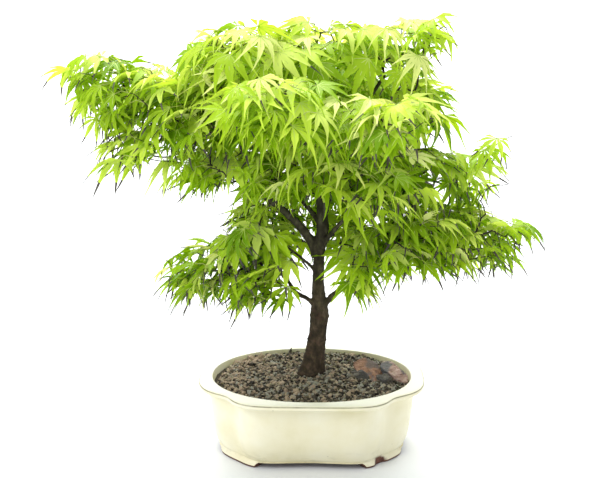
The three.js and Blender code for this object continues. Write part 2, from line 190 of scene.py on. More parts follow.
def lobed_radius(angle, z):
    """The four lobes, with creases between them that fade out towards the feet."""
    crease = CREASE_AT_FOOT + CREASE_RISE * smooth_step(z, 0, CREASE_TO)
    end, side = rounded_radius(END_LOBE, angle), rounded_radius(SIDE_LOBE, angle)
    return (end ** crease + side ** crease) ** (1 / crease)


def inset_at(angle, z):
    """How far the outside stands in from the lip's edge at a height."""
    above = next((i for i, station in enumerate(OUTSIDE) if station[0] * MM >= z), len(OUTSIDE) - 1)
    high, low = OUTSIDE[max(above, 1)], OUTSIDE[max(above, 1) - 1]
    share = (z / MM - low[0]) / max(high[0] - low[0], 1e-6)
    side, end = [low[k] + share * (high[k] - low[k]) for k in (1, 2)]
    return (side + (end - side) * math.cos(angle) ** 4) * MM


def outside_radius(angle, z):
    return lobed_radius(angle, z) - inset_at(angle, z)


def inside_radius(angle, z):
    """The inside of the pot near its mouth: a smooth oval that doesn't follow the creases."""
    drawn_in = rounded_radius(MOUTH, angle) - MOUTH_TAPER * max(0, LIP_TOP - z)
    level = min(z, pot_height) if z > 64.5 * MM else min(z, 62 * MM)
    return min(drawn_in, outside_radius(angle, level) - THINNEST_WALL)


def arch_at(angle):
    """One between two feet and nought on a foot."""
    radius = outside_radius(angle, FOOT_HEIGHT)
    x, y = abs(radius * math.cos(angle)), abs(radius * math.sin(angle))
    past = max(ARCHES[0] - x, ARCHES[1] - y)
    return smooth_step(past, -1.5 * MM, 1.5 * MM)


def pot_rings():
    """Each ring of the pot as a function from an angle to (radius, height, bareness of glaze, which also marks painted
    shade along the foot).
    """
    top = FOOT_HEIGHT

    def foot_ring(z, inset, clay):
        def ring(angle):
            height = z + (top - z) * 0.98 * arch_at(angle)
            return outside_radius(angle, FOOT_HEIGHT) - inset, height, clay
        return ring

    def wall_ring(z, side, end):
        def ring(angle):
            inset = (side + (end - side) * math.cos(angle) ** 4) * MM
            lowered = z * MM + max(0, top - z * MM) * 0.98 * arch_at(angle)
            return lobed_radius(angle, z * MM) - inset, lowered, 1.0 if z < BARE_AND_SHADED_BELOW else 0.0
        return ring

    def mouth_ring(z, out):
        def ring(angle):
            return inside_radius(angle, z) + out, z, 0.0
        return ring

    yield foot_ring(top, FOOT_WIDTH + 1 * MM, 1.0)
    yield foot_ring(0, FOOT_WIDTH, 1.0)
    for station in OUTSIDE:
        yield wall_ring(*station)
    for out in (3, 1.2, 0.5):
        yield mouth_ring(LIP_TOP, out * MM)
    yield mouth_ring(LIP_TOP - 0.2 * MM, 0.12 * MM)
    for depth in (0.6, 1.2, 2.2, 4, 6, 8.5):
        yield mouth_ring(LIP_TOP - depth * MM, 0)


def raise_rings(body, first_loop, rings, place):
    """Extrudes a loop of edges once for each ring, and sets each new vertex by place(ring, vertex)."""
    loop = first_loop
    for ring in rings:
        grown = bmesh.ops.extrude_edge_only(body, edges=loop)["geom"]
        loop = [item for item in grown if isinstance(item, bmesh.types.BMEdge)]
        for vertex in {v for edge in loop for v in edge.verts}:
            place(ring, vertex)
    return loop


def chip_depth(point):
    """How deep the broken foot is cut at a point, in metres."""
    away = (point - chip_middle).length / CHIP_RADIUS
    rough = 0.25 * noise.noise(point * 420)
    return CHIP_DEPTH * smooth_step(1.05 - away + rough * 0.4, 0, 0.75)


def build_pot():
    body = bmesh.new()
    thin_glaze = body.verts.layers.float.new("thin_glaze")
    bare_clay_and_shade = body.verts.layers.float.new("bare_clay_and_shade")

    def place(ring, vertex):
        angle = math.atan2(vertex.co.y - pot_foot.y, vertex.co.x - pot_foot.x)
        radius, z, clay = ring(angle)
        outward = Vector((math.cos(angle), math.sin(angle), 0))
        point = pot_foot + outward * radius + Vector((0, 0, z))
        cut = chip_depth(point) if clay == 0 or z < FOOT_HEIGHT else 0
        vertex.co = point - outward * cut
        vertex[thin_glaze] = max((thin for at, thin in GLAZE_BREAKS.items() if abs(z / MM - at) < 0.04), default=0.0)
        vertex[bare_clay_and_shade] = max(clay, min(1, cut / (0.5 * MM)))

    circle = bmesh.ops.create_circle(body, segments=POT_SIDES, radius=20 * MM)["verts"]
    for vertex in circle:
        vertex.co += pot_foot + Vector((0, 0, FOOT_HEIGHT))
        vertex[bare_clay_and_shade] = 1.0
    raise_rings(body, list(body.edges), pot_rings(), place)
    bmesh.ops.contextual_create(body, geom=circle)
    bmesh.ops.recalc_face_normals(body, faces=body.faces)
    return body


def node(tree, kind, **values):
    """A shader node with its properties and input values set, inputs by their names."""
    made = tree.nodes.new(kind)
    for key, value in values.items():
        socket = made.inputs.get(key.replace("_", " "))
        if socket is not None and not hasattr(made, key):
            socket.default_value = value
        else:
            setattr(made, key, value)
    return made


def ramp(tree, factor, stops):
    """A colour ramp of (position, colour) stops on a factor."""
    made = tree.nodes.new("ShaderNodeValToRGB")
    elements = made.color_ramp.elements
    while len(elements) < len(stops):
        elements.new(0.5)
    for element, (position, colour) in zip(elements, stops):
        element.position = position
        element.color = (*colour, 1)
    tree.links.new(factor, made.inputs["Fac"])
    return made.outputs["Color"]


def mixed(tree, factor, low, high):
    """A mix of two colours, each a socket or a tuple."""
    made = tree.nodes.new("ShaderNodeMix")
    made.data_type = "RGBA"
    for socket, value in zip((made.inputs[0], made.inputs[6], made.inputs[7]), (factor, low, high)):
        if isinstance(value, tuple):
            socket.default_value = (*value, 1)
        elif isinstance(value, (int, float)):
            socket.default_value = value
        else:
            tree.links.new(value, socket)
    return made.outputs[2]


def product(tree, first, second):
    """Two values multiplied."""
    made = node(tree, "ShaderNodeMath", operation="MULTIPLY")
    tree.links.new(first, made.inputs[0])
    tree.links.new(second, made.inputs[1])
    return made.outputs["Value"]


def ranged(tree, value, **limits):
    """A value taken from one range to another. Limits that are not given are nought and one."""
    made = node(tree, "ShaderNodeMapRange", **limits)
    tree.links.new(value, made.inputs["Value"])
    return made.outputs["Result"]


def object_place(tree):
    """The Object coordinates, and the height alone."""
    where = tree.nodes.new("ShaderNodeTexCoord").outputs["Object"]
    split = tree.nodes.new("ShaderNodeSeparateXYZ")
    tree.links.new(where, split.inputs["Vector"])
    return where, split.outputs["Z"]


GRAIN_INPUTS = (
    ("Scale", "NodeSocketFloat", 100), ("Detail", "NodeSocketFloat", 4), ("Roughness", "NodeSocketFloat", 0.55),
    ("Stretch", "NodeSocketVector", (1, 1, 1)), ("Depth", "NodeSocketFloat", 0.0),
    ("Fine Scale", "NodeSocketFloat", 600), ("Fine Depth", "NodeSocketFloat", 0.0),
)


def build_grain():
    """The grain that glaze, soil, stone and bark all have: uneven patches, and a coarse and a fine bump."""
    tree = bpy.data.node_groups.new("grain", "ShaderNodeTree")
    for name, kind, value in GRAIN_INPUTS:
        tree.interface.new_socket(name=name, in_out="INPUT", socket_type=kind).default_value = value
    tree.interface.new_socket(name="Mask", in_out="OUTPUT", socket_type="NodeSocketFloat")
    tree.interface.new_socket(name="Normal", in_out="OUTPUT", socket_type="NodeSocketVector")
    given, result = tree.nodes.new("NodeGroupInput"), tree.nodes.new("NodeGroupOutput")
    stretched = node(tree, "ShaderNodeVectorMath", operation="MULTIPLY")
    tree.links.new(tree.nodes.new("ShaderNodeTexCoord").outputs["Object"], stretched.inputs[0])
    tree.links.new(given.outputs["Stretch"], stretched.inputs[1])
    normal = None
    for scale, depth in (("Fine Scale", "Fine Depth"), ("Scale", "Depth")):
        patches, relief = tree.nodes.new("ShaderNodeTexNoise"), tree.nodes.new("ShaderNodeBump")
        tree.links.new(stretched.outputs["Vector"], patches.inputs["Vector"])
        tree.links.new(given.outputs[scale], patches.inputs["Scale"])
        tree.links.new(given.outputs["Detail"], patches.inputs["Detail"])
        tree.links.new(given.outputs["Roughness"], patches.inputs["Roughness"])
        tree.links.new(patches.outputs["Fac"], relief.inputs["Height"])
        tree.links.new(given.outputs[depth], relief.inputs["Distance"])
        if normal is not None:
            tree.links.new(normal, relief.inputs["Normal"])
        normal = relief.outputs["Normal"]
    tree.links.new(patches.outputs["Fac"], result.inputs["Mask"])
    tree.links.new(normal, result.inputs["Normal"])
    return tree


grain_group = build_grain()


def grain(tree, **values):
    """The grain group placed in a material with its own values, inputs by their names."""
    return node(tree, "ShaderNodeGroup", node_tree=grain_group, **values)


def bump(tree, height, strength, distance, normal):
    """The normal of a relief laid over another normal."""
    made = node(tree, "ShaderNodeBump", Strength=strength, Distance=distance)
    tree.links.new(height, made.inputs["Height"])
    tree.links.new(normal, made.inputs["Normal"])
    return made.outputs["Normal"]


def glaze_material():
    """Cream glaze: cloudy, pinholed, thin and grey at sharp edges, with painted shade on the lip's top, and unglazed
    red clay underneath that also paints shade along the foot.
    """
    material, shader = new_material("cream_glaze", 0.3)
    tree = material.node_tree
    where, height = object_place(tree)
    clouds = grain(tree, Scale=26, Detail=5).outputs["Mask"]
    cream = ramp(tree, clouds, [(0.3, (0.745, 0.69, 0.45)), (0.5, (0.81, 0.76, 0.545)), (0.75, (0.85, 0.815, 0.64))])
    dirt = grain(tree, Scale=70, Detail=6, Stretch=(1, 1, 2)).outputs["Mask"]
    grime = product(tree, ranged(tree, height, From_Min=0.022, From_Max=0.006),
                    ramp(tree, dirt, [(0.52, (0, 0, 0)), (0.72, (0.6, 0.6, 0.6))]))
    grimy = mixed(tree, grime, cream, (0.50, 0.46, 0.30))
    holes = node(tree, "ShaderNodeTexVoronoi", Scale=120.0)
    tree.links.new(where, holes.inputs["Vector"])
    rare = grain(tree, Scale=48, Detail=2).outputs["Mask"]
    pinholes = product(tree, ramp(tree, holes.outputs["Distance"], [(0.06, (1, 1, 1)), (0.12, (0, 0, 0))]),
                       ramp(tree, rare, [(0.58, (0, 0, 0)), (0.62, (1, 1, 1))]))
    speckled = mixed(tree, pinholes, grimy, (0.24, 0.21, 0.13))
    # painted shade: the lip's top gets a darker, greyer cream than the walls to hold back the light that falls on it
    lip_painted_shade = ranged(tree, height, From_Min=0.0686, From_Max=0.0693)
    whole = mixed(tree, lip_painted_shade, speckled, (0.74, 0.725, 0.60))
    thin = node(tree, "ShaderNodeAttribute", attribute_name="thin_glaze").outputs["Fac"]
    uneven = grain(tree, Scale=60, Detail=3).outputs["Mask"]
    edge = product(tree, thin, ramp(tree, uneven, [(0.25, (0.4, 0.4, 0.4)), (0.6, (1, 1, 1))]))
    broken = mixed(tree, edge, whole, (0.17, 0.165, 0.10))
    bare_and_shaded = node(tree, "ShaderNodeAttribute", attribute_name="bare_clay_and_shade").outputs["Fac"]
    fired = grain(tree, Scale=300).outputs["Mask"]
    # unglazed clay, dark red-brown: partly its own colour, partly painted shade that darkens the foot's lower edge and
    # the lower edge of each arch under the pot
    clay = ramp(tree, fired, [(0.3, (0.06, 0.02, 0.012)), (0.7, (0.16, 0.062, 0.038))])
    tree.links.new(mixed(tree, bare_and_shaded, broken, clay), shader.inputs["Base Color"])
    tree.links.new(ranged(tree, bare_and_shaded, To_Min=0.27, To_Max=0.8), shader.inputs["Roughness"])
    dull_lip = ranged(tree, height, From_Min=0.068, From_Max=0.0688, To_Min=0.5, To_Max=0.1)
    tree.links.new(dull_lip, shader.inputs["Specular IOR Level"])
    dimples = grain(tree, Scale=90, Detail=3, Depth=0.00015, Fine_Scale=420, Fine_Depth=0.00001).outputs["Normal"]
    tree.links.new(bump(tree, pinholes, -0.4, 0.0004, dimples), shader.inputs["Normal"])
    return material


pot = piece_from("glazed_pot", build_pot(), glaze_material())
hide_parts("pot")
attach(pot, "root")

# ---------------------------------------------------------------- the soil
# Damp gritty soil: a dark lumpy bed, covered with crumbs of fired clay, bark and pumice a few
# millimetres across that lie as they were poured.

SOIL_LEVEL = 63.5 * MM
HEAPED_AT_BACK = 2.2 * MM


def cad_body(name):
    """A CAD node's mesh as a bmesh, its corners welded."""
    body = bmesh.new()
    body.from_mesh(frame["nodes"][name].data)
    bmesh.ops.remove_doubles(body, verts=body.verts, dist=1e-6)
    return body


soil_solid = cad_body("soil")
soil_surface = BVHTree.FromBMesh(soil_solid)
soil_solid.free()


def soil_height(x, y):
    """The height of the soil's top at a place, or None outside it: it is heaped a little at the back."""
    hit = soil_surface.ray_cast(Vector((x, y, 0.2)), Vector((0, 0, -1)))[0]
    return hit.z + HEAPED_AT_BACK * smooth_step(y - pot_foot.y, 20 * MM, 60 * MM) if hit else None


def soil_edge(angle):
    """The radius of the soil's top."""
    return inside_radius(angle, SOIL_LEVEL)


def build_soil_bed():
    """The lumpy top of the soil and its sunken edge, from the pot's wall to the middle."""
    body = bmesh.new()
    circle = bmesh.ops.create_circle(body, segments=96, radius=50 * MM)["verts"]
    for vertex in circle:
        vertex.co += pot_foot

    def place(ring, vertex):
        out, drop = ring
        angle = math.atan2(vertex.co.y - pot_foot.y, vertex.co.x - pot_foot.x)
        reach = out * (soil_edge(angle) + 0.3 * MM)
        spot = pot_foot + Vector((math.cos(angle), math.sin(angle), 0)) * reach
        top = soil_height(*(pot_foot.lerp(spot, 0.985)).xy) or SOIL_LEVEL
        lump = 1.1 * MM * noise.noise(spot * 160) + 0.6 * MM * noise.noise(spot * 420)
        vertex.co = spot + Vector((0, 0, top - 0.8 * MM - drop + lump))

    for vertex in circle:
        place((1, 6 * MM), vertex)
    raise_rings(body, list(body.edges), [(1 - 0.045 * k, 0) for k in range(22)], place)
    last = [v for v in body.verts if (v.co - pot_foot).xy.length < 0.06 * half_length + 2 * MM]
    bmesh.ops.pointmerge(body, verts=last, merge_co=sum((v.co for v in last), Vector()) / len(last))
    bmesh.ops.contextual_create(body, geom=circle)
    bmesh.ops.recalc_face_normals(body, faces=body.faces)
    return body


def soil_bed_material():
    material, shader = new_material("damp_soil", 0.95)
    tree = material.node_tree
    shader.inputs["Specular IOR Level"].default_value = 0.2
    lumps = grain(tree, Scale=260, Detail=5, Depth=0.0008, Fine_Scale=700, Fine_Depth=0.0004)
    earth = ramp(tree, lumps.outputs["Mask"], [(0.3, (0.018, 0.014, 0.008)), (0.7, (0.07, 0.056, 0.034))])
    tree.links.new(earth, shader.inputs["Base Color"])
    tree.links.new(lumps.outputs["Normal"], shader.inputs["Normal"])
    return material


soil_bed = piece_from("soil_bed", build_soil_bed(), soil_bed_material())
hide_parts("soil")
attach(soil_bed, "root")

CRUMB_SPACING = 2.2 * MM
ROW_SPACING = CRUMB_SPACING * 0.866  # the rows of a honeycomb
CRUMB_COLOURS = {
    "tan": (0.29, 0.222, 0.15),
    "straw": (0.25, 0.215, 0.148),
    "grey": (0.215, 0.207, 0.166),
    "brown": (0.10, 0.082, 0.055),
    "umber": (0.050, 0.042, 0.028),
    # painted shade: the darkest crumbs are partly dark grit, partly stand in for the shade in the gaps between crumbs
    "black": (0.018, 0.015, 0.010),
}
LUMPS_MIDDLE = pot_foot + Vector((-66, 43, 0)) * MM
LUMPS_REACH = (17 * MM, 9 * MM)
crumb_chance = random.Random(11)
noise.seed_set(11)  # fixes noise_vector too, which follows the clock otherwise


def crumb_colour(spot):
    """The crumbs are redder and paler on the left, greyer and darker on the right."""
    across = (spot.x - pot_foot.x) / half_length + 0.5 * noise.noise(spot * 45)
    weights = [max(0.05, 0.30 - 0.5 * across), 0.28, 0.26 + 0.1 * across, 0.22, 0.28 + 0.1 * across, 0.18]
    return crumb_chance.choices(list(CRUMB_COLOURS), weights)[0]


def crumb_spots():
    """Places for the crumbs on a shaken honeycomb, inside the soil's edge."""
    rows = int(2 * half_width / ROW_SPACING)
    columns = int(2 * half_length / CRUMB_SPACING)
    for row in range(rows):
        for column in range(columns):
            x = -half_length + (column + 0.5 * (row % 2)) * CRUMB_SPACING
            y = -half_width + row * ROW_SPACING
            shake = 0.55 * CRUMB_SPACING
            spot = Vector((x + crumb_chance.uniform(-shake, shake), y + crumb_chance.uniform(-shake, shake), 0))
            washed_out = 5 * MM * smooth_step(-spot.x / half_length, 0.72, 0.86) * smooth_step(spot.y, -20 * MM, 0)
            if spot.length < soil_edge(math.atan2(spot.y, spot.x)) - 1.2 * MM - washed_out:
                yield pot_foot + spot


def build_crumbs():
    """A bmesh of crumbs for each colour."""
    crumbs = {colour: bmesh.new() for colour in CRUMB_COLOURS}
    for spot in crumb_spots():
        top = soil_height(spot.x, spot.y)
        if top is None:
            continue
        big = crumb_chance.random() ** 6
        aside = (spot - LUMPS_MIDDLE).xy
        lump = math.hypot(aside.x / LUMPS_REACH[0], aside.y / LUMPS_REACH[1]) < 1 and crumb_chance.random() < 0.3
        size = (0.85 + 0.75 * crumb_chance.random() + 1.6 * big + 1.4 * lump) * MM
        flat = crumb_chance.uniform(0.4, 0.9)
        turn = Matrix.Rotation(crumb_chance.uniform(0, 6.28), 4, Vector((
            crumb_chance.uniform(-1, 1), crumb_chance.uniform(-1, 1), 1.2)).normalized())
        stretch = Matrix.Diagonal((size * crumb_chance.uniform(0.8, 2), size, size * flat, 1))
        lift = Vector((0, 0, top + crumb_chance.uniform(-0.9, 0.5) * MM))
        body = crumbs["tan" if lump else crumb_colour(spot)]
        grown = bmesh.ops.create_icosphere(
            body, subdivisions=1, radius=1, matrix=Matrix.Translation(spot + lift) @ turn @ stretch)["verts"]
        for vertex in grown:
            vertex.co += noise.noise_vector(vertex.co * 900) * 0.5 * size
    return crumbs


BARK_CHIP = ((-23, 63.5, 68.5), (0.35, 0.2, 1), 3.4, 8)  # its foot, the way it leans, its width and its length


def add_bark_chip(body):
    """A pointed flake of bark that stands against the back of the pot."""
    foot, lean, width, length = BARK_CHIP
    leaning = Vector(lean).to_track_quat("Z", "Y").to_matrix().to_4x4()
    stands = Matrix.Translation(pot_foot + Vector(foot) * MM) @ leaning @ Matrix.Diagonal((1, 0.45, 1, 1))
    made = bmesh.ops.create_cone(body, cap_ends=True, segments=7, radius1=width * MM, radius2=0.3 * MM,
                                 depth=length * MM, matrix=stands)["verts"]
    for vertex in made:
        vertex.co += noise.noise_vector(vertex.co * 700) * 0.8 * MM


crumb_bodies = build_crumbs()
add_bark_chip(crumb_bodies["umber"])
for colour, body in crumb_bodies.items():
    material, shader = new_material("crumb_" + colour, 0.9)
    shader.inputs["Base Color"].default_value = (*CRUMB_COLOURS[colour], 1)
    shader.inputs["Specular IOR Level"].default_value = 0.25
    crumbs = piece_from("soil_crumbs_" + colour, body, material, smooth=False)
    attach(crumbs, "root")

# ---------------------------------------------------------------- the stones
# Weathered stone bedded at the right end: a flat rust-brown slab that leans with a pale edge of painted highlight
# and a gap under it, grey rock beside it, and a rounder stone, blue-grey with pinkish tan sides.

STONES = (  # name, CAD stone, middle, half sizes, the way its length and its face point, cuts, seed
    ("stone_rust_rock", "stone_rust", (53, 2, 71.2), (17, 10, 3.4), (18.5, -24, -9), (-48, -217, 480), 6, 4),
    ("stone_rust_footing", None, (45, -4, 69), (10, 5.5, 2.8), (14, -12, -4), (-3, -6, 9), 6, 13),
    ("stone_pale_rock", "stone_pale", (78.5, 3, 69), (13, 9, 7.6), (10, -14, -3), (1, -4, 8), 7, 9),
    ("stone_pale_footing", None, (67.5, -9, 67.8), (10, 6, 3.6), (9, -12, -1), (-1, -3, 9), 6, 21),
)
DEEPEST_CUT = 0.62
STONE_GROWTH = 1.38  # makes up for what the cuts take off


def build_stone(middle, half, length_way, face_way, cuts, seed):
    """A rock split along seeded planes, weathered, stretched to its half sizes and turned its own way."""
    chance = random.Random(seed)
    body = bmesh.new()
    edge_highlight_and_colour = body.verts.layers.float.new("edge_highlight_and_colour")
    bmesh.ops.create_icosphere(body, subdivisions=5, radius=1)
    planes = [Vector((chance.uniform(-1, 1), chance.uniform(-1, 1), chance.uniform(-0.4, 0.7))).normalized()
              for _ in range(cuts)] + [Vector((0, 0, 1)), Vector((0, 0, -1))]
    along, face = Vector(length_way).normalized(), Vector(face_way).normalized()
    across = face.cross(along).normalized()
    turned = Matrix((along, across, along.cross(across))).transposed().to_4x4()
    stands = Matrix.Translation(pot_foot + Vector(middle) * MM) @ turned @ Matrix.Diagonal((*(h * MM for h in half), 1))
    for vertex in body.verts:
        for plane in planes:
            past = vertex.co.dot(plane) - DEEPEST_CUT
            if past > 0:
                vertex.co -= plane * past
        vertex.co += vertex.co.normalized() * (
            0.09 * noise.noise(vertex.co * 2.3 + Vector((seed, 0, 0)))
            + 0.06 * noise.noise(vertex.co * 6) + 0.025 * noise.noise(vertex.co * 15))
        # painted highlight on the rust and grey stones: a paler colour on the upper left front side that faces the left
        # lamp; on the pale stone the same mask gives its own darker blue-grey face
        vertex[edge_highlight_and_colour] = smooth_step(-vertex.co.y, 0.45, 0.65) * smooth_step(vertex.co.z, -0.2, 0.3)
        vertex.co = stands @ (vertex.co * STONE_GROWTH)
    return body


def stone_material(name, stops, patch, patch_colour, edge_colour):
    """Stone with veins, patches of another colour and one edge in another colour: a pale painted highlight on the rust
    and grey stones, and the pale stone's own dark blue-grey face.
    """
    material, shader = new_material(name, 0.85)
    tree = material.node_tree
    shader.inputs["Specular IOR Level"].default_value = 0.3
    veins = grain(tree, Scale=150, Detail=6, Roughness=0.65, Stretch=(1, 1.6, 2.2), Depth=0.0014, Fine_Scale=700,
                  Fine_Depth=0.0005)
    veined = ramp(tree, veins.outputs["Mask"], stops)
    blotch = ramp(tree, grain(tree, Scale=patch, Detail=3).outputs["Mask"], [(0.48, (0, 0, 0)), (0.58, (1, 1, 1))])
    blotched = mixed(tree, blotch, veined, patch_colour)
    edge = node(tree, "ShaderNodeAttribute", attribute_name="edge_highlight_and_colour")
    tree.links.new(mixed(tree, edge.outputs["Fac"], blotched, edge_colour), shader.inputs["Base Color"])
    tree.links.new(veins.outputs["Normal"], shader.inputs["Normal"])
    return material


RUST = [(0.3, (0.06, 0.038, 0.028)), (0.48, (0.21, 0.11, 0.065)), (0.66, (0.36, 0.21, 0.135))]
PALE = [(0.3, (0.11, 0.064, 0.051)), (0.48, (0.35, 0.225, 0.18)), (0.66, (0.53, 0.4, 0.345))]
GREY = [(0.3, (0.022, 0.018, 0.014)), (0.5, (0.07, 0.061, 0.048)), (0.7, (0.20, 0.185, 0.155))]
stone_finishes = {
    "stone_rust_rock": stone_material("rust_stone", RUST, 55, (0.13, 0.10, 0.085), (0.45, 0.38, 0.29)),
    "stone_pale_rock": stone_material("pale_stone", PALE, 62, (0.12, 0.115, 0.11), (0.08, 0.082, 0.082)),
}
grey_stone = stone_material("grey_stone", GREY, 80, (0.05, 0.047, 0.041), (0.22, 0.215, 0.19))
for name, cad_stone, middle, half, length_way, face_way, cuts, seed in STONES:
    stone = piece_from(name, build_stone(middle, half, length_way, face_way, cuts, seed),
                       stone_finishes.get(name, grey_stone))
    if cad_stone:
        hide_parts(cad_stone)
    cad_stone or "stone_" + name.split("_")[1]
    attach(stone, "root")

# ---------------------------------------------------------------- trunk and boughs
# The grown wood: one mesh from root flare to bough tips, so each bough runs out of the trunk's bark.
# Its bark is dark and furrowed low down, ringed with old bud scars, and smoother and olive higher up.

LIMBS = [name for name in frame["nodes"] if name in ("trunk", "second_leader") or name.endswith("_bough")]
STATIONS = {"trunk": 40}
BOUGH_STATIONS = 12


def section_through(body, place, along):
    """The middle and radius of a limb where a plane cuts it, or None."""
    cut = body.copy()
    found = bmesh.ops.bisect_plane(cut, geom=cut.verts[:] + cut.edges[:] + cut.faces[:], plane_co=place, plane_no=along)
    points = [item.co.copy() for item in found["geom_cut"] if isinstance(item, bmesh.types.BMVert)]
    cut.free()
    if len(points) < 3:
        return None
    middle = sum(points, Vector()) / len(points)
    away = sorted((point - middle).length for point in points)
    return middle, away[len(away) // 2]


def centre_line(name, stations):
    """A limb's middle line, from its root to its tip, as (point, radius) pairs."""
    body = cad_body(name)
    corners = [v.co.copy() for v in body.verts]
    first = max(corners, key=lambda co: (co - corners[0]).length)
    last = max(corners, key=lambda co: (co - first).length)
    if name == "trunk":
        low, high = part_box(name)
        first, last = Vector((0, 0, low.z)), Vector((0, 0, high.z))
    along = (last - first).normalized()
    line = []
    for k in range(stations):
        share = 0.02 + 0.95 * k / (stations - 1)
        found = section_through(body, first.lerp(last, share), along)
        if found:
            line.append(found)
    body.free()
    radii = [radius for _, radius in line]
    if sum(radii[:3]) < sum(radii[-3:]):
        line.reverse()
    return line


limb_lines = {name: centre_line(name, STATIONS.get(name, BOUGH_STATIONS)) for name in LIMBS}
LIMB_END = ((0.9, 0.8), (1.6, 0.45))  # past a bough's end in radii, and what is left of the radius there


def as_mesh(data):
    """The finished mesh of a curve, or of an object with modifiers."""
    holder = data if isinstance(data, bpy.types.Object) else bpy.data.objects.new(data.name, data)
    bpy.context.scene.collection.objects.link(holder)
    bpy.context.view_layer.update()
    made = bpy.data.meshes.new_from_object(holder.evaluated_get(bpy.context.evaluated_depsgraph_get()))
    bpy.data.objects.remove(holder)
    return made


def tubes(name, lines, sides_step):
    """One mesh of round tubes, each along a list of (point, radius) pairs."""
    curve = bpy.data.curves.new(name, "CURVE")
    curve.dimensions = "3D"
    curve.bevel_depth = 1
    curve.bevel_resolution = sides_step
    curve.use_fill_caps = True
    for line in lines:
        spline = curve.splines.new("POLY")
        spline.points.add(len(line) - 1)
        for spot, (place, radius) in zip(spline.points, line):
            spot.co = (*place, 1)
            spot.radius = radius
    return as_mesh(curve)


def rounded_limb(line):
    """A round tapering tube through a bough's middle line, let into the wood that it springs from."""
    root = line[0][0] - (line[1][0] - line[0][0]).normalized() * 2.5 * MM
    end, radius = line[-1]
    onward = (end - line[-2][0]).normalized() * radius
    points = [(root, line[0][1] * 1.1)] + line + [(end + onward * out, radius * left) for out, left in LIMB_END]
    return tubes("limb", [points], 3)


WOOD_VOXEL = 0.85 * MM


def joined_wood():
    """Trunk and boughs in one closed skin."""
    body = cad_body("trunk")
    bmesh.ops.subdivide_edges(body, edges=body.edges, cuts=2, smooth=0.6, use_grid_fill=True)
    bmesh.ops.recalc_face_normals(body, faces=body.faces)
    for name, line in limb_lines.items():
        if name != "trunk":
            body.from_mesh(rounded_limb(line))
    mesh = bpy.data.meshes.new("wood")
    body.to_mesh(mesh)
    body.free()
    holder = bpy.data.objects.new("wood", mesh)
    merge = holder.modifiers.new("merge", "REMESH")
    merge.mode = "VOXEL"
    merge.voxel_size = WOOD_VOXEL
    return as_mesh(holder)


wood_tree = KDTree(sum(len(line) for line in limb_lines.values()))
wood_points = [pair for line in limb_lines.values() for pair in line]
for index, (place, _) in enumerate(wood_points):
    wood_tree.insert(place, index)
wood_tree.balance()
RING_SCARS = (0.088, 0.104, 0.1275, 0.1345, 0.149, 0.168, 0.181, 0.204)  # their heights
GRAFT_COLLAR = (0.1345, 0.006)  # the height of the swelling where the trunk was cut back, and its reach


def bark_relief(spot):
    """How far the bark stands out at a point: lumps, upright furrows and the rings of old bud scars."""
    thick = min(1, max(0.16, wood_points[wood_tree.find(spot)[1]][1] / (10 * MM)))
    lumps = noise.noise(spot * 85) + 0.6 * noise.noise(spot * 190)
    collar = math.exp(-(((spot.z - GRAFT_COLLAR[0]) / GRAFT_COLLAR[1]) ** 2))
    furrows = 1 - abs(noise.noise(Vector((spot.x * 420, spot.y * 420, spot.z * 95)))) * 2.4
    flakes = noise.noise(Vector((spot.x * 300, spot.y * 300, spot.z * 520)))
    waver = 2.2 * MM * noise.noise(spot * 60)
    rings = sum(math.exp(-(((spot.z + waver - height) / (1.1 * MM)) ** 2)) for height in RING_SCARS)
    return thick * MM * (0.3 + 0.8 * lumps - 0.42 * max(0, furrows) ** 2 + 0.4 * flakes + 0.8 * rings + 0.9 * collar)


LEAN = 1.2 * MM  # how far the middle of the trunk leans aside
SMOOTHINGS = 5
wood = bmesh.new()
wood.from_mesh(joined_wood())
for _ in range(SMOOTHINGS):
    bmesh.ops.smooth_vert(wood, verts=wood.verts, factor=0.5, use_axis_x=True, use_axis_y=True, use_axis_z=True)
wood.normal_update()
standing_out = [(vertex, vertex.normal.copy(), bark_relief(vertex.co)) for vertex in wood.verts]
for vertex, outward, relief in standing_out:
    lean = LEAN * smooth_step(vertex.co.z, 0.10, 0.14) * smooth_step(vertex.co.z, 0.26, 0.21)
    vertex.co += outward * relief + Vector((lean, 0, 0))


BARK_COLOURS = (  # from the furrows to the tops of the plates, low down and high up
    ((0.016, 0.012, 0.007), (0.045, 0.032, 0.018), (0.10, 0.066, 0.042)),
    ((0.014, 0.013, 0.006), (0.036, 0.035, 0.018), (0.082, 0.080, 0.045)),
)


def bark_material():
    """Bark in plates: brown with red patches low down, and olive higher up."""
    material, shader = new_material("bark", 0.88)
    tree = material.node_tree
    shader.inputs["Specular IOR Level"].default_value = 0.25
    bark = grain(tree, Scale=130, Detail=6, Roughness=0.65, Stretch=(1.25, 1.25, 0.75), Depth=0.0009, Fine_Scale=800,
                 Fine_Depth=0.0003)
    low, high = [ramp(tree, bark.outputs["Mask"], list(zip((0.32, 0.5, 0.68), colours))) for colours in BARK_COLOURS]
    height = object_place(tree)[1]
    both = mixed(tree, ranged(tree, height, From_Min=0.10, From_Max=0.24), low, high)
    patches = grain(tree, Scale=85, Detail=3).outputs["Mask"]
    red = product(tree, ramp(tree, patches, [(0.54, (0, 0, 0)), (0.72, (0.5, 0.5, 0.5))]),
                  ranged(tree, height, From_Min=0.15, From_Max=0.13))
    tree.links.new(mixed(tree, red, both, (0.105, 0.052, 0.036)), shader.inputs["Base Color"])
    tree.links.new(bark.outputs["Normal"], shader.inputs["Normal"])
    return material


trunk_and_boughs = piece_from("trunk_and_boughs", wood, bark_material())
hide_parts(*LIMBS)
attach(trunk_and_boughs, "root")

# ---------------------------------------------------------------- the sprays
# Each spray is the end of a shoot with its leaves in opposite pairs. The sprays fill the crown's
# tiers, and each faces outwards from its own tier; where two tiers part, the sky shows between.

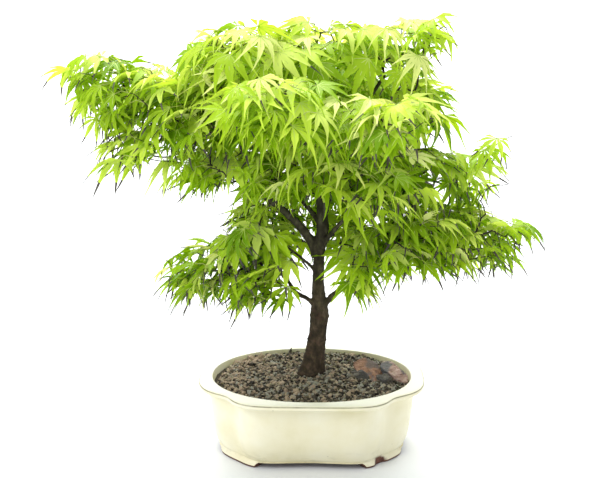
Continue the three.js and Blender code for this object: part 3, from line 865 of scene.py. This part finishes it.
TIERS = [name for name in frame["nodes"] if name not in (*LIMBS, "pot", "soil", "stone_rust", "stone_pale")]
BRIDGES = [  # neighbouring tiers that a few shoots join, and how big the bridge is beside them
    ("crown_top_left", "crown_top_middle", 0.6), ("crown_top_middle", "crown_top_right", 0.6),
    ("back_low_left", "back_low_right", 0.8), ("right_low_root", "right_low_under", 0.7),
    ("left_low_middle", "left_low_root", 0.6), ("centre_left", "front_low_right", 0.7),
    ("left_arm_inner", "crown_top_left", 0.5), ("right_low_outer", "right_low_sprig", 0.7),
    ("right_arm_inner", "right_arm_outer", 0.6), ("left_arm_tip", "left_arm_outer", 0.6),
]
tier_shapes = {}
for name in TIERS:
    low, high = [Vector(corner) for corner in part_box(name)]
    tier_shapes[name] = ((low + high) / 2, (high - low) / 2)
for first, second, share in BRIDGES:
    (middle, half), (other_middle, other_half) = tier_shapes[first], tier_shapes[second]
    tier_shapes[first + "_to_" + second] = ((middle + other_middle) / 2, (half + other_half) / 2 * share)
SHOOTS = [  # a few shoots past a tier's edge: the tier, where in its half sizes, and how big beside it
    ("left_low_tip", (-0.5, 0, 0.5), 0.6), ("left_low_tip", (-0.85, 0, -0.1), 0.5),
    ("left_arm_tip", (0.25, 0, -0.85), 0.35), ("left_arm_tip", (-0.7, 0, 0.45), 0.42),
    ("left_arm_tip", (-0.75, 0, 0), 0.42), ("left_arm_tip", (0.56, 0, 0.85), 0.3),
    ("left_arm_under", (-0.6, 0, 0.5), 0.42), ("left_arm_under", (0.35, 0, -0.3), 0.5),
    ("left_arm_under", (-0.7, 0, -0.35), 0.42), ("left_arm_outer", (-0.55, 0, 0.65), 0.3),
    ("left_arm_inner", (-0.5, 0, 0.6), 0.35),
    ("crown_top_left", (-0.6, 0, 0.35), 0.4), ("left_arm_inner", (0.1, 0, 0.75), 0.35),
    ("crown_top_right", (0.7, 0, 0.4), 0.35), ("crown_top_right", (0.3, 0, -0.5), 0.42),
    ("right_high", (0.7, 0, 0.3), 0.35), ("right_high", (0.2, 0, -0.6), 0.45),
    ("right_arm_sprig", (0.35, 0, 0.3), 1.1), ("right_arm_outer", (0.17, 0, -0.7), 0.5),
    ("right_arm_outer", (0.5, 0, -0.2), 0.45), ("right_low_outer", (0.7, 0, -0.75), 0.6),
    ("right_low_outer", (0.3, 0, -0.7), 0.55), ("right_low_sprig", (-0.1, 0, 0.1), 1.1),
    ("right_low_middle", (-0.35, 0, -0.65), 0.45), ("right_low_middle", (0.3, 0, -0.7), 0.45),
    ("left_low_root", (0.1, 0, -0.6), 0.45), ("front_low_right", (-0.75, 0.2, -0.55), 0.35),
    ("centre_left", (0.35, 0.4, -0.8), 0.4), ("back_middle", (0.6, 0.2, -1.0), 0.42),
    ("back_middle", (-0.35, 0.2, -1.0), 0.42),
]
for number, (tier, offset, share) in enumerate(SHOOTS):
    middle, half = tier_shapes[tier]
    tier_shapes[f"{tier}_shoot_{number}"] = (middle + Vector(o * h for o, h in zip(offset, half)), half * share)
# How thickly a tier is set with sprays, and how far below it leaf ends may hang.
TIER_HABIT = (1.0, 14 * MM)
TIER_HABITS = {
    "back_middle_left": (0.35, 2 * MM), "right_high": (0.8, 8 * MM), "crown_top_right": (1.0, 6 * MM),
    "left_arm_tip": (1.3, 15 * MM), "left_arm_outer": (1.1, 18 * MM), "left_low_tip": (1.4, 18 * MM),
    "left_low_middle": (1.0, 20 * MM), "left_low_root": (1.2, 22 * MM), "right_low_middle": (1.0, 22 * MM),
    "right_low_outer": (1.4, 22 * MM), "right_low_sprig": (2.5, 12 * MM), "centre_left": (1.2, 18 * MM),
    "back_middle": (1.0, 20 * MM),
}
# Gaps where the sky shows through the crown, each as its place across and up, and its half width
# and half height, in millimetres at the trunk. They run from front to back, and rise and widen.
OPENINGS = (
    (69, 356, 11, 7), (105, 351, 12, 5), (125, 360, 6, 10), (92, 297, 13, 6), (118, 296, 14, 7), (-157, 266, 10, 12),
    (151, 311, 21, 18), (-226, 333, 12, 11), (-188, 365, 14, 4), (113, 256, 10, 9), (182, 235, 14, 14),
    (112, 264, 7, 9),
    (-84, 240, 12, 11), (-103, 212, 11, 15), (-86, 203, 7, 10), (-13, 199, 8, 4), (54, 208, 7, 6), (-124, 375, 8, 6),
    (204, 251, 16, 18), (172, 226, 8, 9), (128, 350, 9, 8), (15, 391, 12, 4),
)
OPENING_RISE, OPENING_SPREAD, OPENING_LEVEL = 0.27, 0.93, 0.213
crown_chance = random.Random(31)


def depth_in(name, point, grown=0.0):
    """One at a tier's surface, less inside it."""
    middle, half = tier_shapes[name]
    return math.sqrt(sum(((p - m) / (h + grown)) ** 2 for p, m, h in zip(point, middle, half)))


def in_crown(point, grown, hangs=False):
    """Whether a point is inside the crown, or hangs no further below a tier than its leaves do."""
    for name in tier_shapes:
        hanging = TIER_HABITS.get(name, TIER_HABIT)[1] if hangs else 0
        if depth_in(name, point, grown) < 1 or hanging and depth_in(name, point + Vector((0, 0, hanging)), grown) < 1:
            return True
    return False


def in_opening(point):
    """Whether a point is in one of the gaps that are left open."""
    spread = 1 + OPENING_SPREAD * (point.y - pot_foot.y)
    across = (point.x - pot_foot.x) / spread
    up = (point.z + OPENING_RISE * (point.y - pot_foot.y) - OPENING_LEVEL) / spread + OPENING_LEVEL
    return any(math.hypot((across / MM - x) / wide, (up / MM - z) / tall) < 1 for x, z, wide, tall in OPENINGS)


def level_direction(angle, pitch):
    """A direction at an angle round the upright, pitched up from level."""
    return Vector((math.cos(angle) * math.cos(pitch), math.sin(angle) * math.cos(pitch), math.sin(pitch)))


TRUNK_CLEAR_TO = 0.258
TRUNK_CLEAR_ASIDE = 8 * MM
trunk_line = [place for place, _ in limb_lines["trunk"]]


def hides_trunk(point):
    """Whether a leaf there would hang in front of the trunk where it has been pruned clear."""
    beside = min(trunk_line, key=lambda place: abs(place.z - point.z))
    return point.z < TRUNK_CLEAR_TO and abs(point.x - beside.x) < TRUNK_CLEAR_ASIDE and point.y < beside.y + 12 * MM


class Leaf:
    """Where one leaf stands: its stalk's foot, its joint, the way it points, its length and its kind."""

    def __init__(self, foot, joint, forward, roll, length, kind):
        self.foot, self.joint, self.forward = foot, joint, forward
        self.roll, self.length, self.kind = roll, length, kind


class Spray:
    """A shoot's end: its tier, its place, the way it points and its leaves."""

    def __init__(self, tier, place, heading):
        self.tier, self.place, self.heading, self.leaves = tier, place, heading, []


LEAF_LENGTHS = (33 * MM, 53 * MM)
LEAF_ROOM = 12.4 * MM
LEAF_KINDS = 6
YOUNG_KIND = 6  # the form after the grown kinds
joints = []


def crowded(joint):
    """Whether another leaf's joint is too near."""
    return any((joint - other).length_squared < LEAF_ROOM * LEAF_ROOM for other in joints)


def grow_leaf(spray, foot, turn):
    """Adds a leaf if its lobes end inside the crown and its joint has room."""
    middle, half = tier_shapes[spray.tier]
    angle = math.atan2(spray.heading.y, spray.heading.x) + turn
    joint = foot + level_direction(angle, crown_chance.uniform(-0.3, 0.4)) * crown_chance.uniform(9, 18) * MM
    from_middle = joint - middle
    aside = min(1, math.hypot(from_middle.x / half.x, from_middle.y / half.y))
    above = from_middle.z / half.z
    pitch = -math.radians(crown_chance.uniform(-6, 18) + 24 * aside * (1 - 0.7 * max(-0.5, above)))
    length = crown_chance.uniform(*LEAF_LENGTHS)
    lean = angle + crown_chance.uniform(-0.4, 0.4)
    sunk = Vector((0, 0, -0.3 * length))
    ends = [joint + level_direction(lean + side, pitch) * length * reach + sunk
            for side, reach in ((0, 0.85), (0.7, 0.7), (-0.7, 0.7))]
    if not in_crown(ends[0], 4 * MM, True) or not any(in_crown(end, 6 * MM, True) for end in ends[1:]):
        return
    if not in_crown(joint, 4 * MM) or crowded(joint):
        return
    along_lobes = [joint.lerp(end, share) for end in ends for share in (0, 0.5, 1)]
    if any(hides_trunk(spot) or in_opening(spot) for spot in along_lobes):
        return
    joints.append(joint)
    spray.leaves.append(Leaf(foot, joint, level_direction(lean, pitch), crown_chance.uniform(-0.6, 0.6), length,
                             crown_chance.randrange(LEAF_KINDS)))


def grow_spray(tier):
    """A spray at a random place inside a tier, or None if it has no room there."""
    middle, half = tier_shapes[tier]
    out = crown_chance.random() ** 0.45
    angle = crown_chance.uniform(0, 2 * math.pi)
    rise = crown_chance.uniform(-0.75, 0.98)
    flat = math.sqrt(max(0, 1 - rise * rise))
    spot = Vector((
        math.cos(angle) * flat * half.x * 0.8, math.sin(angle) * flat * half.y * 0.8, rise * half.z * 0.92)) * out
    place = middle + spot
    outward = Vector((spot.x, spot.y, 0)) + 0.35 * Vector(((middle - pot_foot).x, (middle - pot_foot).y, 0))
    facing = math.atan2(outward.y, outward.x) + crown_chance.uniform(-0.6, 0.6)
    spray = Spray(tier, place, level_direction(facing, crown_chance.uniform(-0.2, 0.35)))
    back = place - spray.heading * crown_chance.uniform(10, 18) * MM
    for foot, least, most in ((place, 0.35, 0.9), (back, 0.8, 1.5)):
        for side in (1, -1):
            grow_leaf(spray, foot, side * crown_chance.uniform(least, most))
    return spray if spray.leaves else None


TUFT_LENGTHS = (15 * MM, 24 * MM)
TUFT_SHARE = 0.3


def grow_tuft(spray):
    """A pair of young leaves, half open, that stand up at the shoot's end."""
    angle = math.atan2(spray.heading.y, spray.heading.x)
    for side in (1, -1):
        forward = level_direction(angle + side * crown_chance.uniform(0.2, 0.9), crown_chance.uniform(0.5, 1.2))
        joint = spray.place + forward * crown_chance.uniform(2, 6) * MM
        young = Leaf(spray.place, joint, forward, crown_chance.uniform(-0.6, 0.6), crown_chance.uniform(*TUFT_LENGTHS),
                     YOUNG_KIND)
        if in_crown(joint + forward * young.length, 5 * MM):
            spray.leaves.append(young)


SPRAY_TRIES = 170  # for a tier as big as a ball of this radius
TRIED_RADIUS = 42 * MM
sprays = []
for tier, (middle, half) in tier_shapes.items():
    volume = half.x * half.y * half.z / TRIED_RADIUS ** 3
    for _ in range(int(SPRAY_TRIES * max(0.3, volume) * TIER_HABITS.get(tier, TIER_HABIT)[0])):
        grown = grow_spray(tier)
        if grown:
            sprays.append(grown)
            high = (grown.place.z - middle.z) / half.z
            if high > 0.35 and crown_chance.random() < TUFT_SHARE:
                grow_tuft(grown)

# ---------------------------------------------------------------- the twigs
# Thin dark twigs that fork again and again from the boughs to the sprays. Each is as thick as the
# shoots that it carries need, and its end bends over into the way its spray points.

TWIG_TIP = 0.36 * MM
TWIG_STEP = 6 * MM
FORK_POWER = 2.3


class Joint:
    """A point on the wood: its parent, its place, how far it is along from the trunk, and its load."""

    def __init__(self, place, parent=None, limit=None):
        self.place, self.parent, self.limit, self.load, self.swell = place, parent, limit, 0.0, 0.0
        self.way = parent.way + (place - parent.place).length if parent else 0.0


wood_joints = []
for name, line in limb_lines.items():
    parent = None
    for index, (place, radius) in enumerate(line):
        if name == "trunk" and index < 0.45 * len(line):
            continue
        parent = Joint(place, parent, radius)
        wood_joints.append(parent)


def nearest_joint(spray):
    """The joint that a new twig leaves from: near, not too far out, and not pointing back."""
    best, cost = None, 1e9
    for joint in wood_joints:
        reach = spray.place - joint.place
        length = reach.length
        if length > cost:
            continue
        backward = max(0, -reach.normalized().dot(spray.heading)) if length > 1e-6 else 0
        falling = max(0, -reach.z) / max(length, 1e-6)
        total = length * (1 + 0.5 * backward + 0.25 * falling) + 0.12 * joint.way
        if total < cost:
            best, cost = joint, total
    return best


def grow_twig(spray):
    """Adds joints along a bowed line from the wood to the spray, and returns the whole run."""
    start = nearest_joint(spray)
    reach = (spray.place - start.place).length
    leaving = (spray.place - start.place).normalized()
    if start.parent:
        leaving = (leaving + 0.5 * (start.place - start.parent.place).normalized() + Vector((0, 0, 0.15))).normalized()
    bend_in = start.place + leaving * reach * 0.4
    bend_out = spray.place - spray.heading * reach * 0.35
    steps = max(2, round(reach / TWIG_STEP))
    run = [start]
    for k in range(1, steps + 1):
        t = k / steps
        point = (start.place * (1 - t) ** 3 + bend_in * 3 * t * (1 - t) ** 2
                 + bend_out * 3 * t * t * (1 - t) + spray.place * t ** 3)
        if k < steps:
            point += noise.noise_vector(point * 45) * min(1.2 * MM, 0.06 * reach)
        run.append(Joint(point, run[-1]))
    wood_joints.extend(run[1:])
    return run


def distance_to_wood(spray):
    return min((spray.place - joint.place).length for joint in wood_joints)


sprays.sort(key=distance_to_wood)
runs = [grow_twig(spray) for spray in sprays]
for run in runs:
    joint = run[-1]
    while joint:
        joint.load += 1
        joint = joint.parent


FORK_SHARES = (0.8, 0.62, 0.45)  # how thick a bough's end divides, as shares of its radius
FORK_TAPER = 34 * MM


def twig_radius(joint):
    grown = TWIG_TIP * max(1, joint.load) ** (1 / FORK_POWER)
    return max(joint.swell, min(grown, joint.limit * 0.9) if joint.limit else grown)


for name, line in limb_lines.items():
    end = next(joint for joint in wood_joints if joint.place == line[-1][0])
    leaving = sorted((run for run in runs if run[0] is end), key=lambda run: -run[1].load)
    for share, run in zip(FORK_SHARES, leaving):
        for joint in run[1:]:
            joint.swell = end.limit * share * max(0, 1 - (joint.way - end.way) / FORK_TAPER)


def piece_of_tubes(name, lines, material, sides_step=1):
    """An object of round tubes in one material, riding with the plant."""
    mesh = tubes(name, lines, sides_step)
    mesh.materials.clear()
    mesh.materials.append(material)
    for face in mesh.polygons:
        face.use_smooth = True
    piece = bpy.data.objects.new(name, mesh)
    bpy.context.scene.collection.objects.link(piece)
    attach(piece, "root")
    return piece


twig_material, shader = new_material("twig_bark", 0.8)
shader.inputs["Base Color"].default_value = (0.034, 0.028, 0.017, 1)
shader.inputs["Specular IOR Level"].default_value = 0.3
twig_lines = [[(joint.place, twig_radius(joint)) for joint in run] for run in runs]
for line in twig_lines:
    line[0] = (line[0][0], min(line[0][1], line[1][1] * 1.3))
twigs = piece_of_tubes("twigs", twig_lines, twig_material)

# ---------------------------------------------------------------- the leaves
# Soft spring leaves, each of seven narrow toothed lobes round the end of a thin stalk, the middle
# lobe longest and the hindmost pair small. The lobes fold along their pale ribs and hang down.

LOBES = (
    (0, 1.0, "long"), (33, 0.93, "long"), (-33, 0.93, "long"), (69, 0.72, "middling"), (-69, 0.72, "middling"),
    (108, 0.42, "short"), (-108, 0.42, "short"),
)
# How each lobe widens along its length, as (share of the lobe, half width as a share of the leaf).
LOBE_OUTLINES = {
    "long": ((0.25, 0.066), (0.41, 0.086), (0.45, 0.068), (0.57, 0.05), (0.68, 0.027), (0.86, 0.017), (1, 0)),
    "middling": ((0.34, 0.07), (0.5, 0.066), (0.56, 0.043), (0.7, 0.024), (1, 0)),
    "short": ((0.55, 0.058), (0.75, 0.02), (1, 0)),
}
RIB_OUTLINE = ((0.3, 0.008), (0.66, 0.004))
RIB_LIFT = 0.005
LEAF_FORMS = (  # droop, fold, spread of the lobes, sideways bend, width of the lobes
    (0.75, 0.55, 1.0, 0.12, 1.0), (1.05, 0.7, 0.95, -0.2, 0.9), (1.4, 0.6, 0.9, 0.16, 1.1),
    (0.55, 0.45, 1.05, -0.14, 1.05), (1.2, 0.8, 0.8, 0.24, 0.85), (0.9, 0.65, 1.0, -0.24, 0.95),
    (0.5, 1.0, 0.42, 0.1, 1.0),
)
WELD = 0.028
TIP_FROM = 0.68


def add_lobe(body, angle, length, stations, start_width=0.0):
    """A flat lobe: a run of edges from the leaf's joint, widened to both sides of itself."""
    along = Vector((math.cos(math.radians(angle)), math.sin(math.radians(angle)), 0))
    sideways = Vector((-along.y, along.x, 0))
    share_of, aside_of = body.verts.layers.float["share"], body.verts.layers.float["aside"]
    stations = ((0, start_width),) + stations
    run, edges = [body.verts.new((0, 0, 0))], []
    for share, _ in stations[1:]:
        grown = bmesh.ops.extrude_vert_indiv(body, verts=[run[-1]])
        run.append(grown["verts"][0])
        edges.append(grown["edges"][0])
        run[-1].co = along * length * share
        run[-1][share_of] = share
    for side in (1, -1):
        made = bmesh.ops.extrude_edge_only(body, edges=edges)["geom"]
        for vertex in [item for item in made if isinstance(item, bmesh.types.BMVert)]:
            share, wide = min(stations, key=lambda station: abs(station[0] * length - vertex.co.length))
            vertex[share_of], vertex[aside_of] = share, wide
            vertex.co += sideways * side * wide


def shape_leaf(body, form, weld, lift=0.0):
    """Welds the lobes of a flat leaf to each other, then spreads, folds and droops them."""
    droop, fold, spread, bend, _ = form
    inner = [vertex for vertex in body.verts if vertex.co.length < 0.3]
    bmesh.ops.remove_doubles(body, verts=inner, dist=weld)
    bmesh.ops.remove_doubles(body, verts=body.verts, dist=1e-5)
    aside_of = body.verts.layers.float["aside"]
    for vertex in body.verts:
        out, turned = vertex.co.length, math.atan2(vertex.co.y, vertex.co.x)
        turned = turned * spread + bend * out * out
        bent = droop * (1 + 0.18 * math.sin(4 * turned + 20 * droop))
        level, fall = math.sin(bent * out) / bent, (1 - math.cos(bent * out)) / bent
        vertex.co = (math.cos(turned) * level, math.sin(turned) * level, lift + vertex[aside_of] * fold - fall)
    bmesh.ops.recalc_face_normals(body, faces=body.faces)
    if sum(face.normal.z for face in body.faces) < 0:
        bmesh.ops.reverse_faces(body, faces=body.faces)


def leaf_body():
    body = bmesh.new()
    body.verts.layers.float.new("share")
    body.verts.layers.float.new("aside")
    return body


def kept_part(body, kept):
    """A mesh of the faces whose share passes a test."""
    part = body.copy()
    share_of = part.verts.layers.float["share"]
    bmesh.ops.delete(part, geom=[f for f in part.faces if not kept(min(v[share_of] for v in f.verts))], context="FACES")
    for layer in ("share", "aside"):
        part.verts.layers.float.remove(part.verts.layers.float[layer])
    mesh = bpy.data.meshes.new("leaf_part")
    part.to_mesh(mesh)
    part.free()
    return mesh


def leaf_parts(form):
    """The meshes of a leaf one unit long: its blade, the thin ends of its lobes, and its ribs."""
    blade, ribs = leaf_body(), leaf_body()
    for angle, length, outline in LOBES:
        add_lobe(blade, angle, length, tuple((share, wide * form[4]) for share, wide in LOBE_OUTLINES[outline]))
    for angle, length, _ in LOBES[:5]:
        add_lobe(ribs, angle, length, RIB_OUTLINE, 0.009)
    shape_leaf(blade, form, WELD)
    shape_leaf(ribs, form, 1e-5, RIB_LIFT)
    parts = (
        kept_part(blade, lambda share: share < TIP_FROM), kept_part(blade, lambda share: share >= TIP_FROM),
        kept_part(ribs, lambda share: True),
    )
    blade.free()
    ribs.free()
    return parts


leaf_meshes = [leaf_parts(form) for form in LEAF_FORMS]


def leaf_place(leaf):
    """The matrix that sets a leaf of one unit at its joint."""
    left = Vector((0, 0, 1)).cross(leaf.forward).normalized()
    turned = Matrix((leaf.forward, left, leaf.forward.cross(left))).transposed().to_4x4()
    return Matrix.Translation(leaf.joint) @ turned @ Matrix.Rotation(leaf.roll, 4, "X") @ Matrix.Scale(leaf.length, 4)


def lay(body, mesh, place):
    """Adds a copy of a mesh to a body."""
    laid = mesh.copy()
    laid.transform(place)
    body.from_mesh(laid)
    bpy.data.meshes.remove(laid)


LEAF_TINTS = [  # from the palest to the deepest
    ("lemon", (0.86, 0.93, 0.33)), ("bright", (0.72, 0.87, 0.17)), ("fresh", (0.58, 0.77, 0.075)),
    ("green", (0.42, 0.63, 0.024)), ("deep", (0.30, 0.50, 0.012)), ("shade", (0.19, 0.36, 0.008)),
]
DARK_TIP = (0.085, 0.075, 0.068)
RIB_TINT = (0.56, 0.70, 0.16)
STALK_TINT = (0.36, 0.42, 0.09)


def leaf_material(name, tint, through=0.38):
    """A soft leaf that lets part of the light through it."""
    material, shader = new_material(name, 0.45)
    tree = material.node_tree
    shader.inputs["Base Color"].default_value = (*tint, 1)
    shader.inputs["Specular IOR Level"].default_value = 0.15
    glow = node(tree, "ShaderNodeBsdfTranslucent", Color=(tint[0] * 1.05, tint[1] * 1.02, tint[2] * 0.6, 1))
    blend = tree.nodes.new("ShaderNodeMixShader")
    blend.inputs["Fac"].default_value = through
    tree.links.new(shader.outputs["BSDF"], blend.inputs[1])
    tree.links.new(glow.outputs["BSDF"], blend.inputs[2])
    tree.links.new(blend.outputs["Shader"], tree.nodes["Material Output"].inputs["Surface"])
    return material


def spray_painted_light(spray):
    """How pale a spray's leaves are, as painted light and shade: palest on top of the crown and at its front, deepest
    inside, with a random tone besides.
    """
    middle, half = tier_shapes[spray.tier]
    top = (spray.place.z - middle.z) / half.z
    front = -(spray.place.y - pot_foot.y) / 0.13
    inside = 1 - min(1, depth_in(spray.tier, spray.place))
    height = (spray.place.z - 0.15) / 0.25
    return 0.42 + 0.2 * top + 0.08 * front + 0.18 * height - 0.2 * inside + crown_chance.gauss(0, 0.22)


blades = {tint: bmesh.new() for tint, _ in LEAF_TINTS}
dark_tips, ribs = bmesh.new(), bmesh.new()
for spray in sprays:
    # the tint pieces stand for lit and shaded leaves: painted light on the top and front of the crown, painted shade
    # inside, besides a random tone
    step = min(len(LEAF_TINTS) - 1, max(0, int((1 - spray_painted_light(spray)) * len(LEAF_TINTS))))
    side = abs(spray.place.x - pot_foot.x) / 0.2
    dark = crown_chance.random() < 0.25 + 0.65 * side - 0.3 * (spray.place.z > 0.33) + 0.2 * (spray.place.z < 0.22)
    for leaf in spray.leaves:
        blade, tip, rib = leaf_meshes[leaf.kind]
        place = leaf_place(leaf)
        body = blades[LEAF_TINTS[max(0, min(1, step - 2)) if leaf.kind == YOUNG_KIND else step][0]]
        lay(body, blade, place)
        lay(dark_tips if dark else body, tip, place)
        lay(ribs, rib, place)

for tint, colour in LEAF_TINTS:
    leaves = piece_from("leaves_" + tint, blades[tint], leaf_material("leaf_" + tint, colour))
    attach(leaves, "root")
    if tint == "green":
        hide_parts(*TIERS)
for name, body, colour in (("dark_leaf_ends", dark_tips, DARK_TIP), ("leaf_ribs", ribs, RIB_TINT)):
    piece = piece_from(name, body, leaf_material(name, colour, 0.2))
    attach(piece, "root")

stalk_material, shader = new_material("leaf_stalk", 0.55)
shader.inputs["Base Color"].default_value = (*STALK_TINT, 1)
stalks = []
for spray, run in zip(sprays, runs):
    for leaf in spray.leaves:
        foot = min((joint.place for joint in run), key=lambda place: (place - leaf.foot).length)
        lift = Vector((0, 0, 0.18)) * (leaf.joint - foot).length
        stalks.append([(foot, 0.5 * MM), (foot.lerp(leaf.joint, 0.5) + lift, 0.38 * MM), (leaf.joint, 0.36 * MM)])
stalk_piece = piece_of_tubes("leaf_stalks", stalks, stalk_material, 0)
